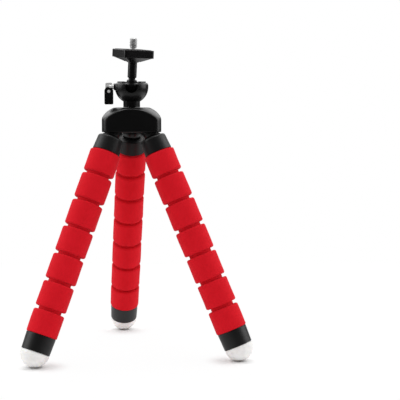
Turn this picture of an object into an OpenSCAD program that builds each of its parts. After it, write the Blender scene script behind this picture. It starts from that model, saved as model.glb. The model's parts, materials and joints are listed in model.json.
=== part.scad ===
// Flexible leg tripod: a ball head on a three-cornered hub, with three foam-sleeved legs
// that bend at their grooves. Millimetres, +Z up, the floor is z = 0 and the Z axis runs
// through the hub and the cup of the head.

/* [Legs] */
// Lean of each leg from the vertical
leg_splay = 24; // [18:0.5:28]
// Swing of each leg sideways round its hip
leg_swing = 7.3; // [0:0.1:10]
// Distance of each hip from the hub's corner
hip_inset = 9; // [8.3:0.1:9.9]
// Radius of the round boss under the hub that each collar turns on
hip_ball_r = 8; // [7.2:0.1:8.2]
// Gap between a collar and the underside of the hub with its bosses
hip_clear = 0.35; // [0.3:0.05:1]
// Diameter of the bendable wire inside a leg
wire_d = 4.8; // [3:0.1:5.4]
// Clearance round the wire
wire_fit = 0.2; // [0.1:0.05:0.4]
// Swelling of the wire at its knee in the hip
wire_knee = 0.15; // [0.12:0.01:0.18]
// Length of wire held by a collar at the lower end
wire_hold = 7; // [4:0.5:10]
// Largest bend at each groove
bend_max = 15; // [8:0.5:16]

/* [Collars] */
// Length of the top collar
collar_len = 13; // [9:0.5:18]
// Diameter of the top collar at its shoulder
collar_top_d = 21; // [18:0.1:22]
// Diameter of the top collar where it meets the foam
collar_low_d = 22.8; // [20:0.1:24]
// Rounding of the top collar's shoulder
collar_round = 2; // [0.5:0.1:4]
// Length of the bottom collar
shoe_len = 14; // [10:0.5:20]
// Diameter of the bottom collar where it meets the foam
shoe_top_d = 24.2; // [22:0.1:26]
// Diameter of the bottom collar where it meets the foot
shoe_low_d = 23.3; // [21:0.1:25]

/* [Feet] */
// Radius of the domed foot
foot_r = 11.6; // [9:0.1:12.4]
// Height of the straight rim above the dome
foot_rim = 0.9; // [0.5:0.1:4]
// Diameter of the peg on the foot
peg_d = 13; // [8:0.5:16]
// Length of the peg on the foot
peg_len = 5; // [3:0.5:5.5]
// Clearance round the peg
peg_fit = 0.1; // [0.05:0.05:0.3]

/* [Foam sleeve] */
// Diameter of the foam
foam_d = 25.4; // [22:0.1:27]
// Diameter of the foam in a groove
neck_d = 20.8; // [17:0.1:21.5]
// Width of a groove
groove_w = 3.2; // [2.6:0.1:5]
// Distance from groove to groove
groove_pitch = 23.1; // [20:0.1:30]
// Distance from a collar to the middle of the nearest groove
groove_end = 20.3; // [16:0.1:30]
// Rounding of the foam at a groove
band_round = 2.2; // [1:0.1:3]
// Rounding of the foam at a collar
sleeve_round = 0.7; // [0.3:0.1:1.5]
// Clearance of a bending neck
neck_fit = 0.3; // [0.2:0.05:0.5]

/* [Hub] */
// Radius of the hub at its three corners
hub_r = 26.7; // [26:0.1:30]
// Distance of the three flats from the middle
hub_flat = 17; // [16.4:0.1:18.5]
// Height of the hub
hub_h = 20.5; // [19:0.1:23]
// Height of the hub's corner wall
hub_wall_h = 11.5; // [10.5:0.1:13]
// Radius of the dome
dome_r = 35.4; // [34:0.1:42]
// Wall of the cover
cover_wall = 2.4; // [1.6:0.1:2.6]
// Thickness of the cover's top
cover_top = 3; // [2:0.1:4]
// Thickness of the base plate
base_t = 5; // [4:0.1:6]
// Clearance of the base plate in the cover
base_fit = 0.15; // [0.1:0.05:0.4]
// Length of wire held by the base plate
wire_root = 9.5; // [7:0.1:9.8]
// Wall of the bosses round the wires
boss_wall = 2.2; // [1.2:0.1:2.6]
// Distance of the base screws from the middle
post_radius = 9; // [8.7:0.1:10]
// Diameter of the screw posts
post_d = 6; // [4.5:0.1:6.4]
// Diameter of the base screws
hub_screw_d = 2.4; // [1.6:0.1:2.8]
// Clearance round the base screws
hub_screw_fit = 0.05; // [0.05:0.01:0.1]

/* [Ball cup] */
// Radius of the cup
cup_r = 13.8; // [12:0.1:14.5]
// Height of the ball's centre above the underside of the hub
ball_h = 37.4; // [36.5:0.1:42]
// Height of the cup's rim above the ball's centre
rim_h = 3.5; // [2.8:0.1:3.8]
// Rounding of the cup's rim
rim_round = 2.4; // [0.3:0.1:2.7]
// Diameter of the cup's neck
cup_neck_d = 13.8; // [12:0.1:18]
// Gap between the cup's neck and the hub
pan_gap = 0.2; // [0.1:0.05:0.4]
// Outer radius of the raised lips
lip_r = 11.65; // [10.5:0.05:12]
// Width of the raised lips
lip_w = 2.4; // [1:0.1:3]
// Height of the raised lips
lip_h = 0.9; // [0.4:0.1:1.5]
// Width of the notch at the ball
notch_w = 9.4; // [9.2:0.1:10]
// Width of the notch at the rim
notch_mouth_w = 11.4; // [10.2:0.1:13]
// Diameter of the bolt that carries the cup
bolt_d = 5; // [4:0.1:6]
// Length of the bolt inside the cup
bolt_hold = 8; // [5:0.5:9]
// Width of the bolt's head across its corners
bolt_head_d = 10; // [8:0.1:10.6]
// Thickness of the bolt's head
bolt_head_h = 4; // [3:0.1:5]
// Clearance round the bolt
bolt_fit = 0.1; // [0.05:0.05:0.2]

/* [Ball and stem] */
// Radius of the ball
ball_r = 5.4; // [5.2:0.05:5.8]
// Clearance of the ball in the cup
ball_fit = 0.15; // [0.1:0.05:0.3]
// Radius of the shoulder on the ball
shoulder_r = 4.2; // [3.8:0.05:4.25]
// Height of the shoulder above the ball's centre
shoulder_h = 5.8; // [5.2:0.1:6.4]
// Diameter of the undercut above the shoulder
undercut_d = 5.6; // [5:0.1:6.4]
// Height of the stem's foot above the ball's centre
stem_foot = 7.5; // [7:0.1:9]
// Diameter of the stem
stem_d = 7.4; // [6.4:0.1:7.6]
// Lean of the stem towards the notch
stem_pitch = 3.5; // [0:0.5:10]
// Lean of the stem to the right
stem_roll = 2.8; // [0:0.1:2.8]

/* [Platform] */
// Height of the platform above the ball's centre
plate_h = 23.9; // [23:0.1:36]
// Side of the square platform
plate_side = 26.5; // [22:0.1:34]
// Thickness of the platform
plate_t = 6.5; // [5.4:0.1:9]
// Rounding of the platform's corners
plate_round = 2; // [0.5:0.1:4]
// Turn of the platform about the stem
plate_turn = 26; // [-90:1:90]
// Radius of the flare under the platform, at the platform
flare_top_r = 7.2; // [6:0.1:10]
// Radius of the flare at its lower end
flare_low_r = 4.8; // [4.6:0.1:6]
// Height of the flare
flare_h = 3.8; // [3.8:0.1:6]
// Depth of the sloping underside
slope_h = 3.2; // [2:0.1:3.7]
// Width of the sloping underside at its lower end
slope_low_w = 10; // [9.8:0.1:16]
// Edge left round the sloping underside
slope_inset = 1.2; // [0.6:0.1:3]
// Thickness of the rubber pad
pad_t = 1; // [0.8:0.1:1.6]
// Height of the pad above the platform
pad_proud = 0.3; // [0.1:0.05:0.6]
// Edge left round the pad
pad_inset = 1.4; // [1:0.1:3]
// Clearance of the fixed pieces of the head
seat_fit = 0.1; // [0.05:0.05:0.2]
// Depth of the stem's seat in the platform
stem_seat = 1.6; // [1:0.1:2]

/* [Camera screw] */
// Diameter of the camera thread
thread_d = 6.35; // [6.35:0.01:9.5]
// Length of the camera thread
thread_len = 7.3; // [4:0.1:10]
// Diameter of the plain shank under the thread
shank_d = 5.4; // [4.5:0.1:6]
// Height of the plain shank above the pad
shank_h = 1.8; // [0.5:0.1:4]
// Diameter of the flange under the pad
flange_d = 10; // [8:0.1:14]
// Thickness of the flange
flange_t = 1.6; // [1:0.1:1.8]
// Diameter of the screw's lower end in the stem
tail_d = 3.8; // [3:0.1:4.2]
// Length of the screw's lower end
tail_len = 7.5; // [5:0.1:10]

/* [Lock] */
// Diameter of the lock screw
lock_d = 3.6; // [3:0.1:4]
// Clearance round the lock screw
lock_fit = 0.1; // [0.05:0.05:0.2]
// Radius of the boss round the lock screw
lock_boss_r = 2.8; // [2.6:0.1:4]
// Distance of the boss's end from the middle of the cup
lock_boss_end = 14.7; // [14.6:0.1:15.2]
// Gap between the boss and the wing
wing_gap = 0.4; // [0.3:0.1:1]
// Width of the grip along the lock screw
grip_w = 7.2; // [6:0.1:9]
// Length of the grip below the lock screw
grip_len = 14.4; // [10:0.1:15]
// Thickness of the grip
grip_t = 3.6; // [3:0.1:5]
// Width of the steel wing
wing_w = 5.7; // [4:0.1:5.9]
// Thickness of the steel wing
wing_t = 1.6; // [1:0.1:2]
// Height of the bare wing above the lock screw
wing_up = 3.4; // [2.5:0.1:6]
// Length of the wing inside the grip
wing_down = 9; // [7:0.1:9.5]
// Rounding of the wing's corners
wing_round = 1.2; // [0.5:0.1:1.9]
// Diameter of the rivet through the grip
rivet_d = 2.4; // [2:0.1:3.6]
// Distance of the rivet below the lock screw
rivet_drop = 3.7; // [3.6:0.1:6]

/* [Hidden] */
$fn = 96;
eps = 0.01;
LEGS = ["left", "right", "back"];
LEG_TURN = [210, 330, 90];
BANDS = 7;

// Leg sizes, measured down the leg from its hip
hip_radius = hub_r - hip_inset;
wire_r = wire_d/2;
wire_bore_r = wire_r + wire_fit;
collar_flat_r = collar_top_d/2 - collar_round;
collar_top = (collar_flat_r*sin(leg_splay) + collar_round + hip_clear)/cos(leg_splay) - collar_round;
sleeve_top = collar_top + collar_len;
function groove_at(i) = sleeve_top + groove_end + (i - 1)*groove_pitch;
sleeve_low = groove_at(BANDS - 1) + groove_end;
shoe_low = sleeve_low + shoe_len;
foot_at = shoe_low + foot_rim;
hip_z = foot_r + foot_at*cos(leg_splay);
wire_low = sleeve_low + wire_hold;
function band_top(i) = i == 1 ? sleeve_top : groove_at(i - 1) + groove_w/2;
function band_low(i) = i == BANDS ? sleeve_low : groove_at(i) - groove_w/2;
neck_r = neck_d/2;
neck_reach = 0.58*neck_r;
neck_end_r = sqrt(neck_r*neck_r - neck_reach*neck_reach);
socket_floor = neck_reach*cos(bend_max) + neck_end_r*sin(bend_max) + 2*neck_fit;

// Hub sizes
dome_z = hip_z + hub_wall_h - sqrt(dome_r*dome_r - hub_r*hub_r);
hub_top = hip_z + hub_h;
boss_r = wire_bore_r + boss_wall;
boss_roof = 1;
swing_len = hip_ball_r + 1;
swing_r = wire_bore_r/cos(leg_splay/2) - tan(leg_splay/2);
hub_screw_r = hub_screw_d/2;
screw_head_r = 1.9*hub_screw_r;
screw_head_h = 1.2*hub_screw_r;
screw_bite = 6;

// Head sizes, measured from the ball's centre
ball_z = hip_z + ball_h;
seat_r = ball_r + ball_fit;
throat_h = 0.29*ball_r;
throat_r = sqrt(seat_r*seat_r - throat_h*throat_h);
mouth_r = throat_r + 0.5*(rim_h - throat_h);
notch_drop = 0.2;
cup_low = -ball_h + hub_h + pan_gap;
stem_r = stem_d/2;
stem_top = plate_h + stem_seat;
plate_top = plate_h + plate_t;
pad_floor = plate_top + pad_proud - pad_t;
pad_top = plate_top + pad_proud;
pad_hole_r = flange_d/2 - 0.9;
flange_low = pad_floor - flange_t;
shank_top = pad_top + shank_h;
thread_top = shank_top + thread_len;
thread_bevel = 0.6;

// Lock sizes along the lock screw, away from the cup
grip_near = lock_boss_end + wing_gap;
grip_mid = grip_near + grip_w/2;
lock_tip = ball_r + 0.1;

// A leg's own frame: the hip at the origin, the leg along -Z and +X outward
module on_leg(k) {
    rotate([0, 0, LEG_TURN[k]])
        translate([hip_radius, 0, hip_z])
            rotate([0, -leg_splay, leg_swing])
                children();
}

// The stem's own frame: the ball's centre at the origin and the stem along +Z
module on_stem() {
    translate([0, 0, ball_z])
        rotate([stem_pitch, 0, 0])
            rotate([0, stem_roll, 0])
                children();
}

// A square with round corners
module round_square(side, r) {
    inner = side/2 - r;
    square([side, 2*inner], center=true);
    square([2*inner, side], center=true);
    for (x = [-inner, inner], y = [-inner, inner])
        translate([x, y]) circle(r);
}

// The sloping underside of the platform, seen from the side
module slope_profile() {
    low = slope_low_w/2;
    top = plate_side/2 - slope_inset;
    polygon([[-low, plate_h - slope_h], [low, plate_h - slope_h], [top, plate_h + eps], [-top, plate_h + eps]]);
}

// The hub's body, drawn in by an inset and lowered at its top
module hub_form(inset, top) {
    intersection() {
        translate([0, 0, hip_z - eps*(inset > 0 ? 1 : 0)])
            cylinder(r=hub_r - inset, h=hub_h - top + eps*(inset > 0 ? 1 : 0));
        translate([0, 0, dome_z]) sphere(dome_r - inset);
        translate([0, 0, hip_z - 1])
            rotate([0, 0, 90]) linear_extrude(hub_h + 2) circle(2*(hub_flat - inset), $fn=3);
    }
}

// Places for the three base screws, on the flats between the legs
module at_posts() {
    for (a = LEG_TURN)
        rotate([0, 0, a + 60]) translate([post_radius, 0, 0]) children();
}

module camera_screw() {
    color("silver")
        on_stem()
            rotate_extrude() {
                translate([0, flange_low - tail_len]) square([tail_d/2, tail_len + flange_t]);
                translate([0, flange_low]) square([flange_d/2, flange_t]);
                translate([0, flange_low]) square([shank_d/2, shank_top - flange_low]);
                polygon([[0, shank_top], [thread_d/2, shank_top], [thread_d/2, thread_top - thread_bevel],
                    [thread_d/2 - thread_bevel, thread_top], [0, thread_top]]);
            }
}

module platform() {
    color("#1b1a1b")
        on_stem() rotate([0, 0, plate_turn])
            difference() {
                union() {
                    translate([0, 0, plate_h]) linear_extrude(plate_t) round_square(plate_side, plate_round);
                    translate([0, 0, plate_h - flare_h])
                        cylinder(r1=flare_low_r, r2=flare_top_r, h=flare_h + eps);
                    intersection() {
                        rotate([90, 0, 0]) linear_extrude(plate_side, center=true) slope_profile();
                        rotate([90, 0, 90]) linear_extrude(plate_side, center=true) slope_profile();
                    }
                }
                translate([0, 0, pad_floor])
                    linear_extrude(pad_t) round_square(plate_side - 2*pad_inset, plate_round);
                translate([0, 0, flange_low]) cylinder(d=flange_d + 2*seat_fit, h=pad_t + flange_t);
                translate([0, 0, plate_h]) cylinder(d=tail_d + 2*seat_fit, h=plate_t);
                translate([0, 0, plate_h - flare_h - 1])
                    cylinder(r=stem_r + seat_fit, h=flare_h + 1 + stem_seat + seat_fit);
            }
}

module platform_pad() {
    color("#2b2a2b")
        on_stem() rotate([0, 0, plate_turn])
            translate([0, 0, pad_floor])
                linear_extrude(pad_t)
                    difference() {
                        round_square(plate_side - 2*(pad_inset + seat_fit), plate_round);
                        circle(pad_hole_r);
                    }
}

module ball_stem() {
    color("#161516")
        on_stem()
            difference() {
                union() {
                    sphere(ball_r);
                    rotate_extrude() {
                        square([shoulder_r, shoulder_h - 0.8]);
                        translate([0, shoulder_h - 1.6]) square([shoulder_r - 0.8, 1.6]);
                        translate([shoulder_r - 0.8, shoulder_h - 0.8]) circle(0.8);
                        square([undercut_d/2, stem_foot + 1]);
                        translate([0, stem_foot]) square([stem_r, stem_top - stem_foot]);
                    }
                }
                translate([0, 0, flange_low - tail_len - 0.5])
                    cylinder(d=tail_d + 2*seat_fit, h=tail_len + stem_top);
            }
}

module ball_cup() {
    color("#141314")
        translate([0, 0, ball_z])
            difference() {
                union() {
                    rotate_extrude() {
                        translate([0, cup_low]) square([cup_neck_d/2, -cup_low]);
                        intersection() {
                            circle(cup_r);
                            translate([0, -cup_r]) square([cup_r, cup_r]);
                        }
                        square([cup_r, rim_h - rim_round]);
                        square([cup_r - rim_round, rim_h]);
                        translate([cup_r - rim_round, rim_h - rim_round]) circle(rim_round);
                    }
                    rotate([0, -90, 0]) cylinder(r=lock_boss_r, h=lock_boss_end);
                    intersection() {
                        rotate_extrude() translate([lip_r - lip_w, 0]) square([lip_w, rim_h + lip_h]);
                        cube([2*cup_r, 1.5*lip_r, 4*rim_h], center=true);
                    }
                }
                sphere(seat_r);
                rotate_extrude()
                    polygon([[0, throat_h - 1], [throat_r - 0.5, throat_h - 1], [mouth_r, rim_h],
                        [mouth_r, rim_h + 2], [0, rim_h + 2]]);
                rotate([90, 0, 0])
                    linear_extrude(cup_r + 1) {
                        translate([0, -notch_drop]) circle(notch_w/2);
                        polygon([[-notch_w/2, -notch_drop], [notch_w/2, -notch_drop],
                            [notch_mouth_w/2, rim_h], [notch_mouth_w/2, rim_h + 2],
                            [-notch_mouth_w/2, rim_h + 2], [-notch_mouth_w/2, rim_h]]);
                    }
                rotate([0, -90, 0]) cylinder(d=lock_d + 2*lock_fit, h=lock_boss_end + 1);
                translate([0, 0, cup_low - 1])
                    cylinder(d=bolt_d + 2*bolt_fit, h=1 + bolt_hold + bolt_fit);
            }
}

module lock_screw() {
    color("gainsboro")
        translate([0, 0, ball_z]) {
            rotate([0, -90, 0])
                translate([0, 0, lock_tip]) cylinder(d=lock_d, h=grip_mid - lock_tip);
            translate([-grip_mid, 0, 0]) rotate([90, 0, 0]) {
                linear_extrude(wing_t, center=true) {
                    translate([-wing_w/2, -wing_down]) square([wing_w, wing_down + wing_up - wing_round]);
                    translate([-wing_w/2 + wing_round, wing_up - 2*wing_round])
                        square([wing_w - 2*wing_round, 2*wing_round]);
                    for (x = [-1, 1])
                        translate([x*(wing_w/2 - wing_round), wing_up - wing_round]) circle(wing_round);
                }
                translate([0, -rivet_drop, 0]) cylinder(d=rivet_d, h=grip_t + 0.3, center=true);
            }
        }
}

module lock_grip() {
    color("#1d1c1d")
        translate([-grip_mid, 0, ball_z])
            difference() {
                rotate([90, 0, 0])
                    linear_extrude(grip_t, center=true) {
                        translate([0, -grip_w/2]) circle(grip_w/2);
                        translate([-grip_w/2, -grip_len + 1]) square([grip_w, grip_len - 1 - grip_w/2]);
                        translate([-grip_w/2 + 1, -grip_len]) square([grip_w - 2, grip_len - grip_w/2]);
                        for (x = [-1, 1])
                            translate([x*(grip_w/2 - 1), -grip_len + 1]) circle(1);
                    }
                translate([-wing_w/2 - seat_fit, -wing_t/2 - seat_fit, -wing_down - seat_fit])
                    cube([wing_w + 2*seat_fit, wing_t + 2*seat_fit, wing_down + 1]);
                translate([0, 0, -rivet_drop])
                    rotate([90, 0, 0]) cylinder(d=rivet_d + 2*seat_fit, h=grip_t + 1, center=true);
                rotate([0, 90, 0])
                    translate([0, 0, -seat_fit]) cylinder(d=lock_d + 2*seat_fit, h=grip_w);
            }
}

module hub_cover() {
    color("#121112")
        difference() {
            union() {
                difference() {
                    hub_form(0, 0);
                    hub_form(cover_wall, cover_top);
                }
                intersection() {
                    at_posts() translate([0, 0, hip_z + base_t]) cylinder(d=post_d, h=hub_h);
                    hub_form(0, cover_top/2);
                }
            }
            at_posts()
                translate([0, 0, hip_z]) cylinder(r=hub_screw_r + hub_screw_fit, h=base_t + screw_bite + 0.5);
            translate([0, 0, hip_z]) cylinder(d=bolt_d + 2*pan_gap, h=hub_h + 1);
        }
}

module hub_base() {
    color("#1a191a")
        difference() {
            union() {
                translate([0, 0, hip_z])
                    linear_extrude(base_t)
                        intersection() {
                            circle(hub_r - cover_wall - base_fit);
                            rotate(90) circle(2*(hub_flat - cover_wall - base_fit), $fn=3);
                        }
                for (a = LEG_TURN)
                    rotate([0, 0, a]) translate([hip_radius, 0, hip_z]) {
                        translate([0, 0, -1]) cylinder(r=boss_r, h=1 + wire_root + boss_roof);
                        rotate_extrude()
                            intersection() {
                                circle(hip_ball_r);
                                translate([0, -hip_ball_r]) square([hip_ball_r, hip_ball_r - base_fit]);
                            }
                    }
            }
            for (a = LEG_TURN)
                rotate([0, 0, a]) translate([hip_radius, 0, hip_z]) {
                    cylinder(r=wire_bore_r, h=wire_root + wire_fit);
                    rotate([0, -leg_splay/2, leg_swing]) translate([0, 0, -swing_len])
                        cylinder(r1=swing_r + (swing_len + 1)*tan(leg_splay/2), r2=swing_r, h=swing_len + 1);
                }
            at_posts() {
                translate([0, 0, hip_z - 1]) cylinder(r=hub_screw_r + hub_screw_fit, h=base_t + 2);
                translate([0, 0, hip_z - 1]) cylinder(r=screw_head_r + 2*hub_screw_fit, h=1 + screw_head_h);
            }
        }
}

module hub_screws() {
    color("silver")
        at_posts() translate([0, 0, hip_z]) {
            cylinder(r=hub_screw_r, h=base_t + screw_bite);
            cylinder(r=screw_head_r, h=screw_head_h);
        }
}

module head_bolt() {
    color("dimgray")
        translate([0, 0, hub_top - cover_top - bolt_fit]) {
            cylinder(d=bolt_d, h=cover_top + bolt_fit + pan_gap + bolt_hold);
            translate([0, 0, -bolt_head_h]) cylinder(d=bolt_head_d, h=bolt_head_h, $fn=6);
        }
}

module top_collar(k) {
    color("#131213")
        on_leg(k)
            rotate_extrude()
                difference() {
                    union() {
                        polygon([[0, -sleeve_top], [collar_low_d/2, -sleeve_top],
                            [collar_top_d/2, -collar_top - collar_round], [collar_flat_r, -collar_top],
                            [0, -collar_top]]);
                        translate([collar_flat_r, -collar_top - collar_round]) circle(collar_round);
                    }
                    translate([-1, -sleeve_top - 1]) square([1 + wire_bore_r, collar_len + 2]);
                    circle(hip_ball_r + hip_clear);
                }
}

// One length of the sleeve: a band, its neck in the groove below it and the socket for the neck above
module foam_band(k, i) {
    top = band_top(i);
    low = band_low(i);
    top_round = i == 1 ? sleeve_round : band_round;
    low_round = i == BANDS ? sleeve_round : band_round;
    color("#c0232b")
        on_leg(k)
            difference() {
                union() {
                    rotate_extrude() {
                        translate([0, -low + low_round]) square([foam_d/2, low - low_round - top - top_round]);
                        translate([0, -low]) square([foam_d/2 - low_round, (low - top)/2]);
                        translate([0, -(low + top)/2]) square([foam_d/2 - top_round, (low - top)/2]);
                        translate([foam_d/2 - top_round, -top - top_round]) circle(top_round);
                        translate([foam_d/2 - low_round, -low + low_round]) circle(low_round);
                    }
                    if (i < BANDS)
                        translate([0, 0, -groove_at(i)])
                            intersection() {
                                sphere(neck_r);
                                translate([0, 0, -neck_reach])
                                    cylinder(r=neck_d, h=neck_reach + groove_w/2 + 1);
                            }
                }
                if (i > 1)
                    translate([0, 0, -groove_at(i - 1)])
                        intersection() {
                            sphere(neck_r + neck_fit);
                            translate([0, 0, -socket_floor]) cylinder(r=neck_d, h=socket_floor);
                        }
                translate([0, 0, -wire_low]) cylinder(r=wire_bore_r, h=wire_low);
            }
}

module bottom_collar(k) {
    color("#131213")
        on_leg(k)
            difference() {
                translate([0, 0, -shoe_low]) cylinder(d1=shoe_low_d, d2=shoe_top_d, h=shoe_len);
                translate([0, 0, -wire_low - wire_fit]) cylinder(r=wire_bore_r, h=wire_low);
                translate([0, 0, -shoe_low - 1]) cylinder(d=peg_d + 2*peg_fit, h=1 + peg_len + peg_fit);
            }
}

module foot(k) {
    color("white")
        on_leg(k)
            rotate_extrude() {
                intersection() {
                    translate([0, -foot_at]) circle(foot_r);
                    translate([0, -foot_at - foot_r]) square([foot_r, foot_r]);
                }
                translate([0, -foot_at]) square([foot_r, foot_rim]);
                translate([0, -foot_at]) square([peg_d/2, foot_rim + peg_len]);
            }
}

module wire_core(k) {
    color("gray") {
        rotate([0, 0, LEG_TURN[k]]) translate([hip_radius, 0, hip_z]) {
            sphere(wire_r + wire_knee);
            cylinder(r=wire_r, h=wire_root);
        }
        on_leg(k) translate([0, 0, -wire_low]) cylinder(r=wire_r, h=wire_low);
    }
}

camera_screw();
platform();
platform_pad();
ball_stem();
ball_cup();
lock_screw();
lock_grip();
hub_cover();
hub_base();
hub_screws();
head_bolt();
for (k = [0:2]) {
    top_collar(k);
    for (i = [1:BANDS])
        foam_band(k, i);
    bottom_collar(k);
    foot(k);
    wire_core(k);
}
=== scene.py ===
"""A table tripod with three bendable foam-sleeved legs, a domed hub and a lockable ball head."""
import json
import math
import bmesh
import bpy
import numpy as np
from mathutils import Matrix, Vector


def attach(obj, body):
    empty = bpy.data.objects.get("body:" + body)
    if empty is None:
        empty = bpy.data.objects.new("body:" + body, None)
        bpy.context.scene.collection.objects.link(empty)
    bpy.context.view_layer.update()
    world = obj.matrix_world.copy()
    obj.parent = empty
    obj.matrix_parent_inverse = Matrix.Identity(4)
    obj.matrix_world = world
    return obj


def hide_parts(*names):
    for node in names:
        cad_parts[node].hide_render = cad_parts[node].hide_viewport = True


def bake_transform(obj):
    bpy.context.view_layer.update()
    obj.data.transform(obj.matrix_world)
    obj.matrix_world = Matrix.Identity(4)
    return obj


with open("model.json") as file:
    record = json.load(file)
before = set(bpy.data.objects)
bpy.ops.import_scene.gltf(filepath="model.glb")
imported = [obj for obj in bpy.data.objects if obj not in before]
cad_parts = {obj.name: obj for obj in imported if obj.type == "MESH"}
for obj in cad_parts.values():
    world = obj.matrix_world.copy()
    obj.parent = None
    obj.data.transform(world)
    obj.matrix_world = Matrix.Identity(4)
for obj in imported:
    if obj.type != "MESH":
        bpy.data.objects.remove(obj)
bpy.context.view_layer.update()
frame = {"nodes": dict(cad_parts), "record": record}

# Leg wires
# Each leg bends on a thick soft wire that is pushed up into the hub and runs down to the shoe.
# It is plain drawn metal, cut into lengths that each span one hinge of the leg.
MM = 0.001
LEGS = ("left", "right", "back")
WIRE_R = 2.4
WIRE_ROOT = 9.5
WIRE_END = 180.4
WIRE_SIDES = 32
KNEE = 3.0
joints = {j["name"]: j for j in frame["record"]["behaviour"]["joints"]}


class Paint:
    """A shader socket that does arithmetic: an expression on sockets and numbers adds Math nodes."""

    def __init__(self, tree, socket=None):
        self.tree = tree
        self.socket = socket

    def node(self, kind, sockets=None, out=0, **settings):
        """Adds a node, sets it up, fills or links its sockets and gives back one of its outputs."""
        made = self.tree.nodes.new("ShaderNode" + kind)
        for key, value in settings.items():
            if key == "stops":
                for stop in range(len(value) - 2):
                    made.color_ramp.elements.new(0.5)
                for stop, (place, colour) in zip(made.color_ramp.elements, value):
                    stop.position = place
                    stop.color = (*colour, 1.0)
            else:
                setattr(made, key, value)
        for key, value in (sockets or {}).items():
            if isinstance(value, Paint):
                self.tree.links.new(value.socket, made.inputs[key])
            else:
                made.inputs[key].default_value = value
        return Paint(self.tree, made.outputs[out])

    def sum_of(self, operation, first, second):
        """One Math node on two values."""
        return self.node("Math", {0: first, 1: second}, operation=operation)

    def __add__(self, other):
        return self.sum_of("ADD", self, other)

    def __radd__(self, other):
        return self.sum_of("ADD", other, self)

    def __sub__(self, other):
        return self.sum_of("SUBTRACT", self, other)

    def __rsub__(self, other):
        return self.sum_of("SUBTRACT", other, self)

    def __mul__(self, other):
        return self.sum_of("MULTIPLY", self, other)

    def __rmul__(self, other):
        return self.sum_of("MULTIPLY", other, self)

    def to(self, shader, socket):
        """Links this value to a socket of the surface's shader."""
        self.tree.links.new(self.socket, shader.inputs[socket])


def finish(name, **constants):
    """A new material: its tree as a Paint, and its shader with the given constants on its sockets."""
    material = bpy.data.materials.new(name)
    material.use_nodes = True
    shader = material.node_tree.nodes["Principled BSDF"]
    for key, value in constants.items():
        shader.inputs[key.replace("_", " ")].default_value = value
    return material, Paint(material.node_tree), shader


def skin(name, grids, material):
    """A mesh from grids of points in millimetres: rows run along the shape and columns close round it.
    Points that fall together, as at a pole or a seam, are merged, and faces are turned outwards."""
    points, faces, count = [], [], 0
    for grid in grids:
        rows, columns = grid.shape[:2]
        row, column = np.meshgrid(np.arange(rows - 1), np.arange(columns), indexing="ij")
        beside = (column + 1) % columns
        corners = np.stack((
            row*columns + column, row*columns + beside,
            (row + 1)*columns + beside, (row + 1)*columns + column), axis=-1)
        points.append(grid.reshape(-1, 3))
        faces.append(corners.reshape(-1, 4) + count)
        count += rows*columns
    mesh = bpy.data.meshes.new(name)
    mesh.from_pydata((np.vstack(points)*MM).tolist(), [], np.vstack(faces).tolist())
    work = bmesh.new()
    work.from_mesh(mesh)
    bmesh.ops.remove_doubles(work, verts=work.verts, dist=1e-7)
    bmesh.ops.recalc_face_normals(work, faces=work.faces)
    work.to_mesh(mesh)
    work.free()
    mesh.shade_smooth()
    mesh.materials.append(material)
    piece = bpy.data.objects.new(name, mesh)
    bpy.context.collection.objects.link(piece)
    return piece


def turned(profile, place, sides=96):
    """A lathe shape: each (radius, height) of the profile is carried round the axis of a 3 by 4 place."""
    turn = np.linspace(0, 2*np.pi, sides, endpoint=False)
    radius, height = np.asarray(profile, float).T
    local = np.stack((
        radius[:, None]*np.cos(turn), radius[:, None]*np.sin(turn),
        np.repeat(height[:, None], sides, axis=1)), axis=-1)
    return local @ place[:, :3].T + place[:, 3]


def leg_place(leg):
    """The leg's frame: its hip, with +Z up the leg, +X outward and +Y across, as a 3 by 4 place in mm."""
    hip = np.array(joints[f"{leg}_hip"]["pos_m"])/MM
    up = hip - np.array(joints[f"{leg}_bend_6"]["pos_m"])/MM
    up /= np.linalg.norm(up)
    across = -np.array(joints[f"{leg}_hip"]["axis"], float)
    out = np.cross(across, up)
    return np.column_stack((out, across, up, hip))


def grooves(leg):
    """How far down the leg each of its six grooves lies, in mm from the hip."""
    hip = np.array(joints[f"{leg}_hip"]["pos_m"])
    return [np.linalg.norm(np.array(joints[f"{leg}_bend_{i}"]["pos_m"]) - hip)/MM for i in range(1, 7)]


def down(place, distance):
    """The point that lies so far down the leg, in metres."""
    return tuple((place[:, 3] - distance*place[:, 2])*MM)


def metal(name, metallic, colour, smooth, scale, detail):
    """Bare or plated metal: its roughness drifts by up to a fifth over a fine noise."""
    material, paint, shader = finish(name, Metallic=metallic, Base_Color=(*colour, 1))
    spots = paint.node("TexCoord", out=3)
    drift = paint.node("TexNoise", {"Vector": spots, "Scale": scale, "Detail": detail})
    (smooth + 0.2*drift).to(shader, "Roughness")
    return material


wire_metal = metal("drawn soft wire", 1.0, (0.62, 0.62, 0.63), 0.34, 900.0, 2.0)

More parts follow.
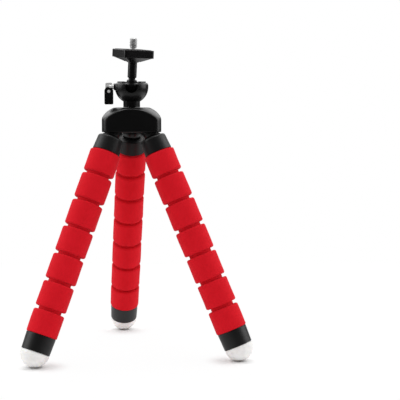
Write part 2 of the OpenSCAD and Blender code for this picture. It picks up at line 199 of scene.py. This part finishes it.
for leg in LEGS:
    place = leg_place(leg)
    cuts = grooves(leg)
    middles = [0.5*(a + b) for a, b in zip(cuts, cuts[1:])]
    ends = [0.5*cuts[0], *middles, WIRE_END]
    # The length at the hip follows an arc from the hub's bore into the line of the leg.
    hip, up = place[:, 3], place[:, 2]
    rise = np.array((0.0, 0.0, 1.0))
    step = np.linspace(0, 1, 13)[:, None]
    arc = (1 - step)**2*(hip + KNEE*rise) + 2*step*(1 - step)*hip + step**2*(hip - KNEE*up)
    path = np.vstack((hip + WIRE_ROOT*rise, arc, hip - ends[0]*up))
    along = np.gradient(path, axis=0)
    along /= np.linalg.norm(along, axis=1)[:, None]
    side = place[:, 1]
    other = np.cross(along, side)
    turn = np.linspace(0, 2*np.pi, WIRE_SIDES, endpoint=False)
    ring = np.cos(turn)[None, :, None]*side + np.sin(turn)[None, :, None]*other[:, None, :]
    tube = path[:, None, :] + WIRE_R*ring
    top_pole = np.repeat(path[:1], WIRE_SIDES, axis=0)
    low_pole = np.repeat(path[-1:], WIRE_SIDES, axis=0)
    tube = np.vstack((top_pole[None], tube, low_pole[None]))
    root = skin(f"{leg}_wire_root", [tube], wire_metal)
    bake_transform(root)
    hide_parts(f"{leg}_wire_core")
    for i in range(6):
        low, high = ends[i + 1], ends[i]
        heights = -np.linspace(low, high, 17)
        rim = [(0, -low), *((WIRE_R, z) for z in heights), (0, -high)]
        length = skin(f"{leg}_wire_{i + 1}", [turned(rim, place, WIRE_SIDES)], wire_metal)
        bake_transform(length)

# Top collars
# Moulded black plastic caps that close the upper end of each sleeve, bored for the wire.
# They widen a little towards the foam and turn on a round boss of the hub in their hollow top.
COLLAR_TOP = 4.357
COLLAR_LOW = 17.357
COLLAR_TOP_R = 10.5
COLLAR_LOW_R = 11.4
COLLAR_ROUND = 2.0
COLLAR_EDGE = 0.35
COLLAR_BORE = WIRE_R + 0.2
SOCKET_R = 8.35


def softened(corners, steps=7):
    """A profile with round corners: each (radius, height, rounding) becomes an arc that is tangent to
    both its sides, with a point held close on either side of it so that flats stay flat."""
    points = []
    for i, (x, z, r) in enumerate(corners):
        here = np.array((x, z), float)
        if r == 0:
            points.append(here)
            continue
        before = np.array(corners[i - 1][:2], float) - here
        after = np.array(corners[(i + 1) % len(corners)][:2], float) - here
        before /= np.linalg.norm(before)
        after /= np.linalg.norm(after)
        half = 0.5*math.acos(np.clip(before @ after, -1, 1))
        reach = r/math.tan(half)
        centre = here + (before + after)/np.linalg.norm(before + after)*r/math.sin(half)
        first = here + before*reach - centre
        last = here + after*reach - centre
        sweep = math.pi - 2*half
        share = np.linspace(0, 1, steps)[:, None]
        arc = (np.sin((1 - share)*sweep)*first + np.sin(share*sweep)*last)/math.sin(sweep)
        points.append(here + before*reach*1.25)
        points.extend(centre + arc)
        points.append(here + after*reach*1.25)
    return np.array(points)


def moulded(name, colour, smooth, haze):
    """Black moulded plastic: faint orange peel, and a roughness that drifts by the haze over the piece."""
    material, paint, shader = finish(name, Base_Color=(*colour, 1), IOR=1.47)
    spots = paint.node("TexCoord", out=3)
    drift = paint.node("TexNoise", {"Vector": spots, "Scale": 60.0, "Detail": 4.0})
    (smooth + haze*drift).to(shader, "Roughness")
    peel = paint.node("TexNoise", {"Vector": spots, "Scale": 700.0, "Detail": 2.0})
    paint.node("Bump", {"Height": peel, "Strength": 0.06, "Distance": 0.0003}).to(shader, "Normal")
    return material


collar_plastic = moulded("satin collar plastic", (0.0048, 0.0046, 0.0048), 0.38, 0.14)

for leg in LEGS:
    rim_r = math.sqrt(SOCKET_R**2 - COLLAR_TOP**2)
    wall = softened([
        (COLLAR_BORE, -COLLAR_LOW, 0), (COLLAR_LOW_R, -COLLAR_LOW, COLLAR_EDGE),
        (COLLAR_TOP_R, -COLLAR_TOP, COLLAR_ROUND), (rim_r, -COLLAR_TOP, 0)])
    dip = np.linspace(math.asin(rim_r/SOCKET_R), math.asin(COLLAR_BORE/SOCKET_R), 16)[1:]
    socket = np.column_stack((SOCKET_R*np.sin(dip), -SOCKET_R*np.cos(dip)))
    profile = np.vstack((wall, socket, wall[:1]))
    collar = skin(f"{leg}_collar_cap", [turned(profile, leg_place(leg))], collar_plastic)
    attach(collar, f"{leg}_1")
    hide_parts(f"{leg}_top_collar")

# Foam sleeves
# One moulded tube of red closed-cell foam on each leg, with six grooves where it bends.
# Each length carries its neck, which stretches across the groove to the next length.
FOAM_R = 12.7
NECK_R = 9.4
GROOVE_W = 2.7
BAND_ROUND = 1.5
END_ROUND = 1.0
SLEEVE_LOW = 173.457
FOAM_BORE = WIRE_R + 0.4
FOAM_SIDES = 112
FOAM_SWELL = 0.005
SLOT_R = 10.9
SLOT_W = 0.7
NECK_TUCK = 1.2
ROW_STEP = 0.8

red_foam, paint, shader = finish("red closed-cell foam", Roughness=0.8, IOR=1.2)
shader.inputs["Sheen Weight"].default_value = 0.2
shader.inputs["Sheen Roughness"].default_value = 0.4
shader.inputs["Sheen Tint"].default_value = (1.0, 0.14, 0.2, 1)
spots = paint.node("TexCoord", out=3)
mottle = paint.node("TexNoise", {"Vector": spots, "Scale": 160.0, "Detail": 4.0, "Roughness": 0.6})
red = paint.node(
    "ValToRGB", {0: mottle}, stops=((0.3, (0.585, 0.0048, 0.0120)), (0.7, (0.625, 0.0060, 0.0150))))
red.to(shader, "Base Color")
cells = paint.node("TexVoronoi", {"Vector": spots, "Scale": 1500.0})
grain = paint.node("TexNoise", {"Vector": spots, "Scale": 2600.0, "Detail": 2.0})
paint.node("Bump", {"Height": cells*0.6 + grain, "Strength": 0.25, "Distance": 0.0003}).to(shader, "Normal")


def foam_length(place, profile, seed):
    """A lathe shape whose skin swells and sinks by a fraction of a millimetre, as soft foam does."""
    grid = turned(profile, place, FOAM_SIDES)
    turn = np.linspace(0, 2*np.pi, FOAM_SIDES, endpoint=False)
    height = np.asarray(profile)[:, 1][:, None]
    wave = np.sin(2*turn + seed)*np.cos(0.23*height + 2*seed) + 0.6*np.sin(3*turn - 1.7*seed + 0.31*height)
    middle = place[:, 3] + height[..., None]*place[:, 2]
    return middle + (grid - middle)*(1 + FOAM_SWELL*wave)[..., None]


for n, leg in enumerate(LEGS):
    place = leg_place(leg)
    cuts = grooves(leg)
    for i in range(1, 8):
        top = COLLAR_LOW if i == 1 else cuts[i - 2] + GROOVE_W/2
        low = SLEEVE_LOW if i == 7 else cuts[i - 1] - GROOVE_W/2
        if i == 1:
            # A narrow slot under the collar shades the top of the sleeve.
            head = [(FOAM_BORE, -top, 0), (SLOT_R, -top, 0), (SLOT_R, -top - SLOT_W, 0.2),
                    (FOAM_R, -top - SLOT_W, END_ROUND)]
        else:
            head = [(FOAM_BORE, -top, 0), (FOAM_R, -top, BAND_ROUND)]
        if i == 7:
            tail = [(FOAM_R, -low, END_ROUND), (FOAM_BORE, -low, 0)]
        else:
            neck_end = cuts[i - 1] + GROOVE_W/2 + NECK_TUCK
            tail = [(FOAM_R, -low, BAND_ROUND), (NECK_R, -low, 0.6), (NECK_R, -neck_end, 0.3),
                    (FOAM_BORE, -neck_end, 0)]
        corners = softened(head + tail)
        # Rows are added down the outside, so that the band can swell and the neck can bend.
        wall = []
        for a, b in zip(corners, corners[1:]):
            share = np.linspace(0, 1, max(2, int(np.linalg.norm(b - a)/ROW_STEP) + 1))[:-1, None]
            wall.append(a + share*(b - a))
        profile = np.vstack((*wall, corners[-1:], corners[:1]))
        length = skin(f"{leg}_sleeve_{i}", [foam_length(place, profile, 1.3*i + 2.1*n)], red_foam)
        if i == 7:
            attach(length, f"{leg}_7")
        else:
            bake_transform(length)
        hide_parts(f"{leg}_foam_{i}")

# Shoes and feet
# A black plastic collar closes the lower end of each sleeve and takes the peg of the foot.
# The foot is a smooth white rubber dome that grips the table, with a brown shade painted on its tip.
SHOE_LOW = 187.457
SHOE_TOP_R = 12.1
SHOE_LOW_R = 11.65
FOOT_R = 11.6
FOOT_RIM = 0.9
PEG_R = 6.5
PEG_LEN = 5.0
PEG_GAP = 0.1
TIP_SHADE_BROWN = (0.12, 0.088, 0.068, 1)

white_rubber, paint, shader = finish("white foot rubber", IOR=1.45)
shader.inputs["Subsurface Weight"].default_value = 0.12
shader.inputs["Subsurface Radius"].default_value = (0.004, 0.003, 0.002)
shader.inputs["Subsurface Scale"].default_value = 0.5
spots = paint.node("TexCoord", out=3)
scuff = paint.node("TexNoise", {"Vector": spots, "Scale": 240.0, "Detail": 5.0})
foot_white = paint.node("ValToRGB", {0: scuff}, stops=((0.35, (0.80, 0.79, 0.775)), (0.62, (0.86, 0.85, 0.84))))
height = paint.node("SeparateXYZ", {0: spots}, out=2)
# Painted shade: the tip turns brown close to the table, standing in for the contact shadow there.
tip_shade = paint.node(
    "MapRange", {"Value": height + 0.002*scuff, "From Min": 0.0018, "From Max": 0.0036,
                 "To Min": 0.85, "To Max": 0.0}, interpolation_type="SMOOTHSTEP")
rubber = paint.node("Mix", {0: tip_shade, 6: foot_white, 7: TIP_SHADE_BROWN}, out=2, data_type="RGBA")
rubber.to(shader, "Base Color")
(0.4 + 0.2*scuff).to(shader, "Roughness")

for leg in LEGS:
    place = leg_place(leg)
    profile = softened([
        (COLLAR_BORE, -SLEEVE_LOW, 0), (SHOE_TOP_R, -SLEEVE_LOW, 0.6), (SHOE_LOW_R, -SHOE_LOW, 0.4),
        (PEG_R + PEG_GAP, -SHOE_LOW, 0), (PEG_R + PEG_GAP, -SHOE_LOW + PEG_LEN + PEG_GAP, 0),
        (COLLAR_BORE, -SHOE_LOW + PEG_LEN + PEG_GAP, 0)])
    profile = np.vstack((profile, profile[:1]))
    shoe = skin(f"{leg}_shoe", [turned(profile, place)], collar_plastic)
    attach(shoe, f"{leg}_7")
    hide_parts(f"{leg}_bottom_collar")
    swing = np.linspace(0, np.pi/2, 28)
    dome = np.column_stack((FOOT_R*np.cos(swing), -SHOE_LOW - FOOT_RIM - FOOT_R*np.sin(swing)))
    peg = softened([
        (0, -SHOE_LOW + PEG_LEN, 0), (PEG_R, -SHOE_LOW + PEG_LEN, 0.6), (PEG_R, -SHOE_LOW, 0),
        (FOOT_R, -SHOE_LOW, 0.25)])
    foot = skin(f"{leg}_foot_dome", [turned(np.vstack((peg, dome)), place)], white_rubber)
    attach(foot, f"{leg}_7")
    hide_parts(f"{leg}_foot")

# Hub
# A domed black moulding with three flats between the legs and soft edges. A base plate closes it from
# below, with a round boss for each leg, and is fixed with three small cross-head screws.
HUB_R = 26.7
HUB_FLAT = 17.0
HUB_H = 20.5
HUB_WALL_H = 11.5
DOME_R = 35.4
REVEAL = 0.4
FLATS = (30, 150, 270)
EYE = 8.0
CORNER_POWER = 20
LOW_EDGE_POWER = 36
TOP_EDGE_POWER = 70

black_plastic = moulded("glossy hub plastic", (0.004, 0.0038, 0.004), 0.24, 0.14)
hip_z = joints["left_hip"]["pos_m"][2]/MM
# The cover's reach is worked out along rays in all directions from a point inside it.
turn, lift = np.meshgrid(
    np.linspace(0, 2*np.pi, 480, endpoint=False), np.linspace(-np.pi/2, np.pi/2, 200), indexing="xy")
ray = np.stack((np.cos(lift)*np.cos(turn), np.cos(lift)*np.sin(turn), np.sin(lift)), -1)
dome_drop = HUB_WALL_H - math.sqrt(DOME_R**2 - HUB_R**2) - EYE
lean = ray[..., 2]*dome_drop


def soft_least(inverse_lengths, power):
    """One over a soft least of the lengths whose inverses are given: a higher power leaves sharper edges."""
    return np.sum(np.maximum(np.array(inverse_lengths), 1e-9)**power, axis=0)**(1/power)


sides = [np.cos(lift)/HUB_R]
for side in FLATS:
    facing = np.array((math.cos(math.radians(side)), math.sin(math.radians(side)), 0))
    sides.append(ray @ facing/HUB_FLAT)
wall = soft_least([soft_least(sides, CORNER_POWER), -ray[..., 2]/(EYE - REVEAL)], LOW_EDGE_POWER)
dome = 1/(lean + np.sqrt(lean**2 - dome_drop**2 + DOME_R**2))
length = 1/soft_least([wall, dome, ray[..., 2]/(HUB_H - EYE)], TOP_EDGE_POWER)
shell = ray*length[..., None] + np.array((0, 0, hip_z + EYE))
cover = skin("hub_dome", [shell], black_plastic)
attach(cover, "hub")
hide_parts("hub_cover")


def eased(name, node, material, width):
    """A copy of a carried-over solid with its flats joined and its edges rounded."""
    mesh = frame["nodes"][node].data.copy()
    work = bmesh.new()
    work.from_mesh(mesh)
    bmesh.ops.remove_doubles(work, verts=work.verts, dist=2e-6)
    bmesh.ops.dissolve_limit(work, angle_limit=math.radians(0.2), verts=work.verts, edges=work.edges)
    bmesh.ops.recalc_face_normals(work, faces=work.faces)
    work.to_mesh(mesh)
    work.free()
    mesh.shade_smooth()
    mesh.materials.clear()
    mesh.materials.append(material)
    piece = bpy.data.objects.new(name, mesh)
    bpy.context.collection.objects.link(piece)
    bevel = piece.modifiers.new("edges", "BEVEL")
    bevel.width = width*MM
    bevel.segments = 3
    bevel.limit_method = "ANGLE"
    bevel.angle_limit = math.radians(32)
    bevel.harden_normals = True
    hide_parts(node)
    return piece


base = eased("hub_base_plate", "hub_base", black_plastic, 0.3)
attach(base, "hub")

# The base plate's screws have round heads with a cross recess, sunk into the underside.
POST_RADIUS = 9.0
HEAD_ROWS = 28
CROSS_HALF = 0.42
CROSS_REACH = 1.5
CROSS_DEEP = 0.75

bright_steel = metal("plated screw steel", 1.0, (0.74, 0.74, 0.75), 0.16, 600.0, 3.0)
screws = []
for side in FLATS:
    x, y = POST_RADIUS*math.cos(math.radians(side)), POST_RADIUS*math.sin(math.radians(side))
    place = np.column_stack((np.eye(3), (x, y, hip_z)))
    radius = np.concatenate((np.linspace(0, 2.0, HEAD_ROWS), [2.12, 2.22, 2.28, 2.28, 1.2, 1.2, 0]))
    height = np.concatenate((np.full(HEAD_ROWS, 0.06), [0.1, 0.2, 0.36, 1.44, 1.44, 11.0, 11.0]))
    head = turned(np.column_stack((radius, height)), place, 72)
    cross = head - place[:, 3]
    arm = np.minimum(np.abs(cross[..., 0]), np.abs(cross[..., 1]))
    spread = np.hypot(cross[..., 0], cross[..., 1])
    inside = np.clip((CROSS_HALF - arm)/0.12, 0, 1)*np.clip((CROSS_REACH - spread)/0.2, 0, 1)
    head[:HEAD_ROWS, :, 2] += CROSS_DEEP*inside[:HEAD_ROWS]
    screws.append(head)
heads = skin("hub_base_screws", screws, bright_steel)
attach(heads, "hub")
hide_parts("hub_screws")
bolt = eased("pan_bolt", "head_bolt", bright_steel, 0.3)
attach(bolt, "cup")

# Ball cup, ball and stem
# The cup is a black moulding that turns on the hub and grips the ball of the stem.
# Its notch lets the stem lie down for upright shots. The stem has a shoulder above its ball.
BALL_R = 5.4
SHOULDER_R = 4.2
SHOULDER_LOW = 3.4
SHOULDER_H = 5.8
UNDERCUT_R = 2.8
STEM_FOOT = 7.5
STEM_R = 3.7
STEM_TOP = 25.5
TAIL_R = 2.0
TAIL_LOW = 20.1

cup = eased("cup_body", "ball_cup", black_plastic, 0.45)
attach(cup, "cup")

satin_black, paint, shader = finish("satin black plastic", Base_Color=(0.0038, 0.0035, 0.0038, 1), IOR=1.46)
spots = paint.node("TexCoord", out=3)
grain = paint.node("TexNoise", {"Vector": spots, "Scale": 900.0, "Detail": 3.0})
(0.26 + 0.14*grain).to(shader, "Roughness")
paint.node("Bump", {"Height": grain, "Strength": 0.12, "Distance": 0.0003}).to(shader, "Normal")

swivel = joints["platform_swivel"]
stem_up = np.array(swivel["axis"], float)
level = math.sqrt(1 - stem_up[0]**2)
stem_right = np.array((level, -stem_up[0]*stem_up[1]/level, -stem_up[0]*stem_up[2]/level))
stem_place = np.column_stack((
    stem_right, np.cross(stem_up, stem_right), stem_up, np.array(swivel["pos_m"])/MM))
swing = np.linspace(-np.pi/2, math.acos(SHOULDER_R/BALL_R), 40)
ball = np.column_stack((BALL_R*np.cos(swing), BALL_R*np.sin(swing)))
stem = softened([
    (SHOULDER_R, SHOULDER_LOW, 0), (SHOULDER_R, SHOULDER_H, 0.8), (UNDERCUT_R, SHOULDER_H, 0.25),
    (UNDERCUT_R, STEM_FOOT, 0.25), (STEM_R, STEM_FOOT, 0.5), (STEM_R, STEM_TOP, 0.2),
    (TAIL_R, STEM_TOP, 0), (TAIL_R, TAIL_LOW, 0), (0, TAIL_LOW, 0)])
ball_and_stem = skin("stem_and_ball", [turned(np.vstack((ball, stem)), stem_place, 72)], satin_black)
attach(ball_and_stem, "ball")
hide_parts("ball_stem")

# Lock
# A steel thumb screw at the side of the cup presses on the ball. A black grip is riveted over the
# lower part of its flat wing, and the bare end of the wing stands above it.
satin_nickel = metal("satin nickel", 0.45, (0.82, 0.82, 0.81), 0.3, 800.0, 3.0)
thumb = eased("thumb_screw", "lock_screw", satin_nickel, 0.2)
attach(thumb, "lever")
grip = eased("thumb_grip", "lock_grip", satin_black, 0.35)
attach(grip, "lever")

# Platform and camera screw
# A square black plate with a sloping underside carries the camera on a thin rubber pad.
# A plated 1/4 inch screw stands up through the pad from a flange in the plate.
PLATE_H = 23.9
PLATE_T = 6.5
PLATE_HALF = 13.25
PLATE_TURN = math.radians(26)
PLATE_EDGE = 0.9
FLARE_H = 3.8
SLOPE_H = 3.2
STEM_SEAT = 1.7
RECESS_HALF = 11.85
RECESS_DEEP = 0.7
FLANGE_SEAT = 2.3


def lofted(rows, place, steps=9):
    """A shape whose level sections are squares with round corners: each row of the list gives half the
    side, the rounding of the corners and the height. A quarter of a section is an arc and then points
    along the flat beside it, and the other three are that quarter turned by right angles."""
    half, corner, height = np.array(rows, float).T[..., None]
    flat = half - corner
    arc = np.linspace(0, np.pi/2, steps)
    along = np.array((0.03, 0.3, 0.5, 0.7, 0.97))
    x = np.hstack((flat + corner*np.cos(arc), flat*(1 - 2*along)))
    y = np.hstack((flat + corner*np.sin(arc), np.repeat(half, len(along), axis=1)))
    grid = np.stack((
        np.hstack((x, -y, -x, y)), np.hstack((y, x, -y, -x)),
        np.repeat(height, 4*x.shape[1], axis=1)), axis=-1)
    return grid @ place[:, :3].T + place[:, 3]


spin = np.array((
    (math.cos(PLATE_TURN), -math.sin(PLATE_TURN), 0),
    (math.sin(PLATE_TURN), math.cos(PLATE_TURN), 0),
    (0, 0, 1)))
plate_place = np.column_stack((stem_place[:, :3] @ spin, stem_place[:, 3]))
# Each row is half the side, the rounding of the corners and the height, from the hole for the stem,
# down and round the outside, to the recess for the pad and the seat of the screw's flange.
top = PLATE_H + PLATE_T
low = PLATE_H - FLARE_H
bend = PLATE_H - SLOPE_H
hole = [
    (2.0, 2.0, PLATE_H + STEM_SEAT), (3.8, 3.8, PLATE_H + STEM_SEAT), (3.8, 3.8, low + 0.15),
    (3.95, 3.95, low)]
flare = [(4.6, 4.6, low), (4.75, 4.75, low + 0.05), (4.85, 4.85, low + 0.2), (5.12, 5.12, bend)]
slope = [
    (5.14, PLATE_EDGE, bend), (5.2, PLATE_EDGE, bend + 0.02), (5.35, PLATE_EDGE, bend + 0.12),
    (11.85, PLATE_EDGE, PLATE_H - 0.09), (12.05, PLATE_EDGE, PLATE_H)]
half, height = softened([
    (12.1, PLATE_H, 0), (PLATE_HALF, PLATE_H, 0.5), (PLATE_HALF, top, 0.55), (RECESS_HALF, top, 0.15),
    (RECESS_HALF, top - RECESS_DEEP, 0)], 6)[1:].T
rim = np.column_stack((half, np.maximum(2.0 - (PLATE_HALF - half), PLATE_EDGE), height)).tolist()
recess = [
    (5.1, 5.1, top - RECESS_DEEP), (5.1, 5.1, top - FLANGE_SEAT), (2.0, 2.0, top - FLANGE_SEAT)]
plate_rows = hole + flare + slope + rim + recess + hole[:1]
plate = skin("camera_plate", [lofted(plate_rows, plate_place)], satin_black)
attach(plate, "platform")
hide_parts("platform")

pad_rubber, paint, shader = finish("black pad rubber", Base_Color=(0.012, 0.012, 0.012, 1), IOR=1.5)
spots = paint.node("TexCoord", out=3)
dust = paint.node("TexNoise", {"Vector": spots, "Scale": 700.0, "Detail": 4.0})
(0.6 + 0.25*dust).to(shader, "Roughness")
pebble = paint.node("TexVoronoi", {"Vector": spots, "Scale": 1300.0})
paint.node("Bump", {"Height": pebble, "Strength": 0.3, "Distance": 0.0002}).to(shader, "Normal")
PAD_HALF = 11.75
PAD_HOLE = 4.1
PAD_PROUD = 0.3
pad_low = top - RECESS_DEEP
pad_rows = [
    (PAD_HOLE, PAD_HOLE, pad_low), (PAD_HALF, 2.0, pad_low), (PAD_HALF, 2.0, top + 0.05),
    (11.7, 1.95, top + 0.2), (11.55, 1.8, top + 0.29), (11.4, 1.7, top + PAD_PROUD),
    (4.3, 4.3, top + PAD_PROUD), (4.15, 4.15, top + 0.25), (PAD_HOLE, PAD_HOLE, top + 0.1),
    (PAD_HOLE, PAD_HOLE, pad_low)]
pad = skin("camera_pad", [lofted(pad_rows, plate_place)], pad_rubber)
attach(pad, "platform")
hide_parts("platform_pad")

# The screw's tail, flange and shank are turned, and its thread is a ridge that winds up the shank.
TAIL_END = 9.8
TAIL_PIN_R = 1.9
FLANGE_R = 5.0
SHANK_R = 2.7
THREAD_R = 3.175
THREAD_ROOT = 2.6
THREAD_PITCH = 1.27
SCREW_SIDES = 72

flange = softened([
    (0, top - TAIL_END, 0), (TAIL_PIN_R, top - TAIL_END, 0.4), (TAIL_PIN_R, top - FLANGE_SEAT, 0),
    (FLANGE_R, top - FLANGE_SEAT, 0.2), (FLANGE_R, top - RECESS_DEEP, 0.3),
    (SHANK_R, top - RECESS_DEEP, 0.3), (SHANK_R, top + 1.9, 0.2)], 5)
flange = flange[:-1]
thread_low = top + 2.1
thread_top = top + 9.4
height = np.linspace(thread_low, thread_top, 110)
turn = np.linspace(0, 2*np.pi, SCREW_SIDES, endpoint=False)
wind = np.abs(2*((height[:, None]/THREAD_PITCH - turn/(2*np.pi)) % 1) - 1)
tooth = np.clip((wind - 0.22)/0.62, 0, 1)*np.clip((height - thread_low)/0.7, 0, 1)[:, None]
limit = THREAD_R - np.clip(height - thread_top + 0.75, 0, 1)
radius = np.minimum(THREAD_ROOT + (THREAD_R - THREAD_ROOT)*tooth, limit[:, None])
thread = np.stack((
    radius*np.cos(turn), radius*np.sin(turn), np.repeat(height[:, None], SCREW_SIDES, axis=1)), axis=-1)
tip = np.zeros((1, SCREW_SIDES, 3))
tip[..., 2] = thread_top
thread = np.vstack((thread, tip)) @ stem_place[:, :3].T + stem_place[:, 3]
zinc_plate = metal("zinc plated screw", 0.65, (0.5, 0.5, 0.5), 0.28, 700.0, 3.0)
shank = turned(flange, stem_place, SCREW_SIDES)
screw = skin("quarter_inch_screw", [np.vstack((shank, thread))], zinc_plate)
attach(screw, "platform")
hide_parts("camera_screw")

# Studio
# A small white table in a pale tent that is open and dim towards the camera, with soft lamps at its
# sides, behind and above. The table is plain white except close to the feet, where their shadows lie.
stage_white, paint, shader = finish("studio white", Base_Color=(0.88, 0.88, 0.88, 1), Roughness=0.9)
spots = paint.node("TexCoord", out=3)
direct = paint.node("LightPath", out=0)
shown = direct + paint.node("LightPath", out=3) + paint.node("LightPath", out=6)
opening = paint.node(
    "MapRange", {"Value": paint.node("SeparateXYZ", {0: spots}, out=1), "From Min": -0.3, "From Max": 0.1,
                 "To Min": 0.0, "To Max": 1.0})
dim = paint.node("Emission", {"Color": (1, 1, 1, 1), "Strength": 0.1})
white = paint.node("Emission", {"Color": (1, 1, 1, 1), "Strength": 1.0})
glow = paint.node("MixShader", {0: direct + (1 - direct)*opening, 1: dim, 2: white})
reach = []
for leg in LEGS:
    toe = Vector(down(leg_place(leg), SHOE_LOW + FOOT_RIM))
    reach.append(paint.node(
        "VectorMath", {0: spots, 1: (toe.x, toe.y, 0)}, out=1, operation="DISTANCE"))
away = paint.sum_of("MINIMUM", paint.sum_of("MINIMUM", reach[0], reach[1]), reach[2])
fade = paint.node(
    "MapRange", {"Value": away, "From Min": 0.006, "From Max": 0.03, "To Min": 0.02, "To Max": 0.95},
    interpolation_type="SMOOTHSTEP")
surface = paint.node("MixShader", {0: fade*shown, 1: Paint(paint.tree, shader.outputs[0]), 2: glow})
out = next(n for n in paint.tree.nodes if n.type == "OUTPUT_MATERIAL")
paint.tree.links.new(surface.socket, out.inputs["Surface"])
floor_mesh = bpy.data.meshes.new("table_top")
TABLE_HALF = 0.5
corners = [(-TABLE_HALF, -TABLE_HALF, 0), (TABLE_HALF, -TABLE_HALF, 0), (TABLE_HALF, TABLE_HALF, 0),
           (-TABLE_HALF, TABLE_HALF, 0)]
floor_mesh.from_pydata(corners, [], [(0, 1, 2, 3)])
floor_mesh.materials.append(stage_white)
floor = bpy.data.objects.new("table_top", floor_mesh)
bpy.context.collection.objects.link(floor)

world = bpy.data.worlds.new("studio")
bpy.context.scene.world = world
world.use_nodes = True
BOUNCE = 0.7
sky = Paint(world.node_tree)
backdrop = world.node_tree.nodes["Background"]
bearing = sky.node("TexCoord", out=0)
facing = sky.node("SeparateXYZ", {0: bearing}, out=1)
upward = sky.node("SeparateXYZ", {0: bearing}, out=2)
tent = sky.node(
    "MapRange", {"Value": facing, "From Min": -0.75, "From Max": 0.35, "To Min": 0.035, "To Max": 1.0},
    interpolation_type="SMOOTHSTEP")
raised = sky.node(
    "MapRange", {"Value": upward, "From Min": 0.0, "From Max": 0.5, "To Min": 0.06, "To Max": 1.0},
    interpolation_type="SMOOTHSTEP")
direct = sky.node("LightPath", out=0)
mirrored = sky.node("LightPath", out=3) + sky.node("LightPath", out=6)
strength = direct + (1 - direct)*(mirrored*tent*raised + (1 - mirrored)*BOUNCE)
backdrop.inputs["Color"].default_value = (1, 1, 1, 1)
sky.tree.links.new(strength.socket, backdrop.inputs["Strength"])


def lamp(name, place, aim, size, watts):
    """A soft square lamp that faces a point."""
    light = bpy.data.lights.new(name, "AREA")
    light.size = size
    light.energy = watts
    holder = bpy.data.objects.new(name, light)
    holder.matrix_world = Matrix.Translation(place) @ (
        Vector(aim) - Vector(place)).to_track_quat("-Z", "Y").to_matrix().to_4x4()
    bpy.context.collection.objects.link(holder)


lamp("left_softbox", (-0.95, 0.0, 0.55), (0, 0, 0.13), 0.8, 4.0)
lamp("right_softbox", (0.95, 0.05, 0.5), (0, 0, 0.13), 0.8, 3.8)
lamp("back_left_strip", (-0.45, 0.85, 0.75), (0, 0, 0.2), 0.5, 1.0)
lamp("back_right_strip", (0.45, 0.85, 0.75), (0, 0, 0.2), 0.5, 0.8)
lamp("top_softbox", (0.0, 0.1, 1.1), (0, 0, 0.15), 0.6, 4.0)

# The camera stands in front, a little above the hub, and is turned so that the part is framed at the
# left of the picture. Its focal length, the part's axis and the horizon are in pixels.
PICTURE = 400
SENSOR = 36.0
FOCAL = 1165.8
DISTANCE = 0.9654
CAMERA_H = 0.2140
BEARING = math.radians(-89.06)
AXIS_X = 131.9
HORIZON = 95.5

camera_data = bpy.data.cameras.new("view")
camera_data.sensor_width = SENSOR
camera_data.lens = FOCAL/PICTURE*SENSOR
camera = bpy.data.objects.new("view", camera_data)
stand = Vector((DISTANCE*math.cos(BEARING), DISTANCE*math.sin(BEARING), CAMERA_H))
heading = BEARING + math.pi - math.atan((PICTURE/2 - AXIS_X)/FOCAL)
pitch = -math.atan((PICTURE/2 - HORIZON)/FOCAL)
look = Vector((math.cos(heading)*math.cos(pitch), math.sin(heading)*math.cos(pitch), math.sin(pitch)))
camera.matrix_world = Matrix.Translation(stand) @ look.to_track_quat("-Z", "Y").to_matrix().to_4x4()
bpy.context.collection.objects.link(camera)
bpy.context.scene.camera = camera
bpy.context.scene.view_settings.view_transform = "Standard"
